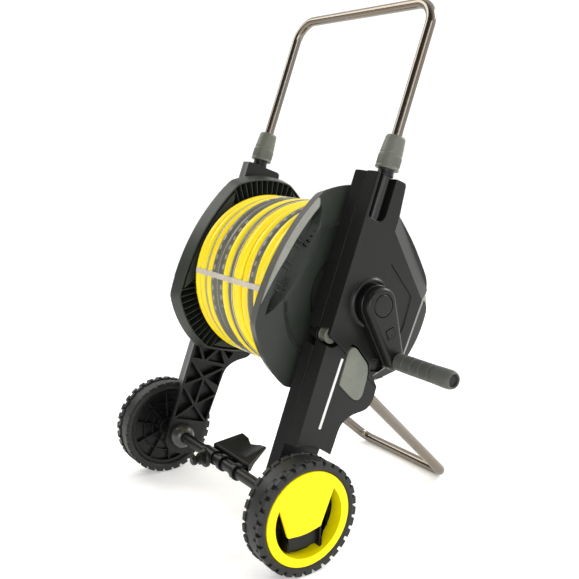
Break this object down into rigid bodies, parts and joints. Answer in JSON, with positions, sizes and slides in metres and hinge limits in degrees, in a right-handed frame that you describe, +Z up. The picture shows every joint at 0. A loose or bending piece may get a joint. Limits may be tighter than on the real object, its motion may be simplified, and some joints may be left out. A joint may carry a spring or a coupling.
{
  "type": "garden hose reel cart",
  "caption": "Two-wheeled garden hose cart: cranked hose drum between leaning folding side frames, telescopic U handle, bent tube rear stand.",
  "frame": {"origin": "on the floor under the centre of the part's box", "axes": "+Z up, +X towards the crank side, +Y towards the rear stand"},
  "size_m": [0.5796, 0.488, 0.8187],
  "materials": {
    "cover": "charcoal moulded plastic, satin with a fine grain",
    "rib": "black ribbed moulded plastic, satin",
    "flange": "near-black moulded plastic, satin",
    "grey": "warm light grey moulded plastic",
    "button": "light grey plastic with a fine spark-eroded texture",
    "grip": "mid grey soft-touch plastic",
    "yellow": "bright yellow smooth plastic",
    "tyre": "dark grey moulded tyre with staggered blocks",
    "hose": "yellow garden hose with grey stripes and thin light lines",
    "chrome": "bright plated steel tube",
    "dark_steel": "dark coated steel",
    "band": "thin translucent white plastic band"
  },
  "bodies": {
    "lower_frame": {"lower_cover_right": "cover", "lower_cover_left": "cover", "lower_rib_right": "rib", "lower_rib_left": "rib", "fold_knuckle_right": "grey", "fold_knuckle_left": "grey", "fold_pin_right": "rib", "fold_pin_left": "rib", "axle_dome_right": "dark_steel", "axle_dome_left": "dark_steel", "axle_tube": "rib", "stand_bar": "chrome", "foot_plate": "rib", "accessory_plug": "rib"},
    "upper_frame": {"upper_cover_right": "cover", "upper_cover_left": "cover", "upper_rib_right": "rib", "upper_rib_left": "rib", "guide_tube_right": "dark_steel", "guide_tube_left": "dark_steel", "guide_neck_right": "rib", "guide_neck_left": "rib", "drum_bush_right": "rib", "drum_bush_left": "rib", "inlet_elbow": "rib", "inlet_nipple": "grey"},
    "handle": {"handle_bar": "chrome"},
    "drum": {"flange_right": "flange", "flange_left": "flange", "drum_core": "rib", "drum_shaft": "rib", "hose_coil": "hose", "hose_tail": "hose", "hose_connector": "grey", "hose_band": "band", "crank_base": "rib", "crank_arm": "cover", "crank_cap": "cover", "crank_catch": "rib", "grip_spindle": "dark_steel"},
    "grip": {"grip_sleeve": "grip", "grip_plug": "rib"},
    "wheel_right": {"tyre_right": "tyre", "wheel_rim_right": "rib", "wheel_cover_right": "yellow"},
    "button_right": {"latch_button_right": "button"},
    "clamp_right": {"clamp_collar_right": "grey"},
    "wheel_left": {"tyre_left": "tyre", "wheel_rim_left": "rib", "wheel_cover_left": "yellow"},
    "button_left": {"latch_button_left": "button"},
    "clamp_left": {"clamp_collar_left": "grey"}
  },
  "joints": [
    {"name": "wheel_spin_right", "type": "hinge", "parent": "lower_frame", "child": "wheel_right", "pos_m": [0.173, -0.159, 0.085], "axis": [1, 0, 0], "continuous": true},
    {"name": "wheel_spin_left", "type": "hinge", "parent": "lower_frame", "child": "wheel_left", "pos_m": [-0.2675, -0.159, 0.085], "axis": [1, 0, 0], "continuous": true},
    {"name": "button_press_right", "type": "slide", "parent": "lower_frame", "child": "button_right", "axis": [-1, 0, 0], "range_m": [0, 0.0025], "stiffness_N_per_m": 400},
    {"name": "button_press_left", "type": "slide", "parent": "lower_frame", "child": "button_left", "axis": [1, 0, 0], "range_m": [0, 0.0025], "stiffness_N_per_m": 400},
    {"name": "frame_fold", "type": "hinge", "parent": "lower_frame", "child": "upper_frame", "pos_m": [-0.04725, -0.07871, 0.32829], "axis": [1, 0, 0], "range_deg": [0, 70]},
    {"name": "clamp_twist_right", "type": "hinge", "parent": "upper_frame", "child": "clamp_right", "pos_m": [0.12675, 0.03807, 0.58783], "axis": [0, 0.3502, 0.9367], "range_deg": [0, 90]},
    {"name": "clamp_twist_left", "type": "hinge", "parent": "upper_frame", "child": "clamp_left", "pos_m": [-0.22125, 0.03807, 0.58783], "axis": [0, 0.3502, 0.9367], "range_deg": [0, 90]},
    {"name": "handle_slide", "type": "slide", "parent": "upper_frame", "child": "handle", "axis": [0, 0.3502, 0.9367], "range_m": [-0.14, 0.055]},
    {"name": "drum_spin", "type": "hinge", "parent": "upper_frame", "child": "drum", "pos_m": [-0.04725, -0.01011, 0.37043], "axis": [1, 0, 0], "continuous": true},
    {"name": "grip_spin", "type": "hinge", "parent": "drum", "child": "grip", "pos_m": [0.23175, 0.01987, 0.28134], "axis": [1, 0, 0], "continuous": true}
  ]
}
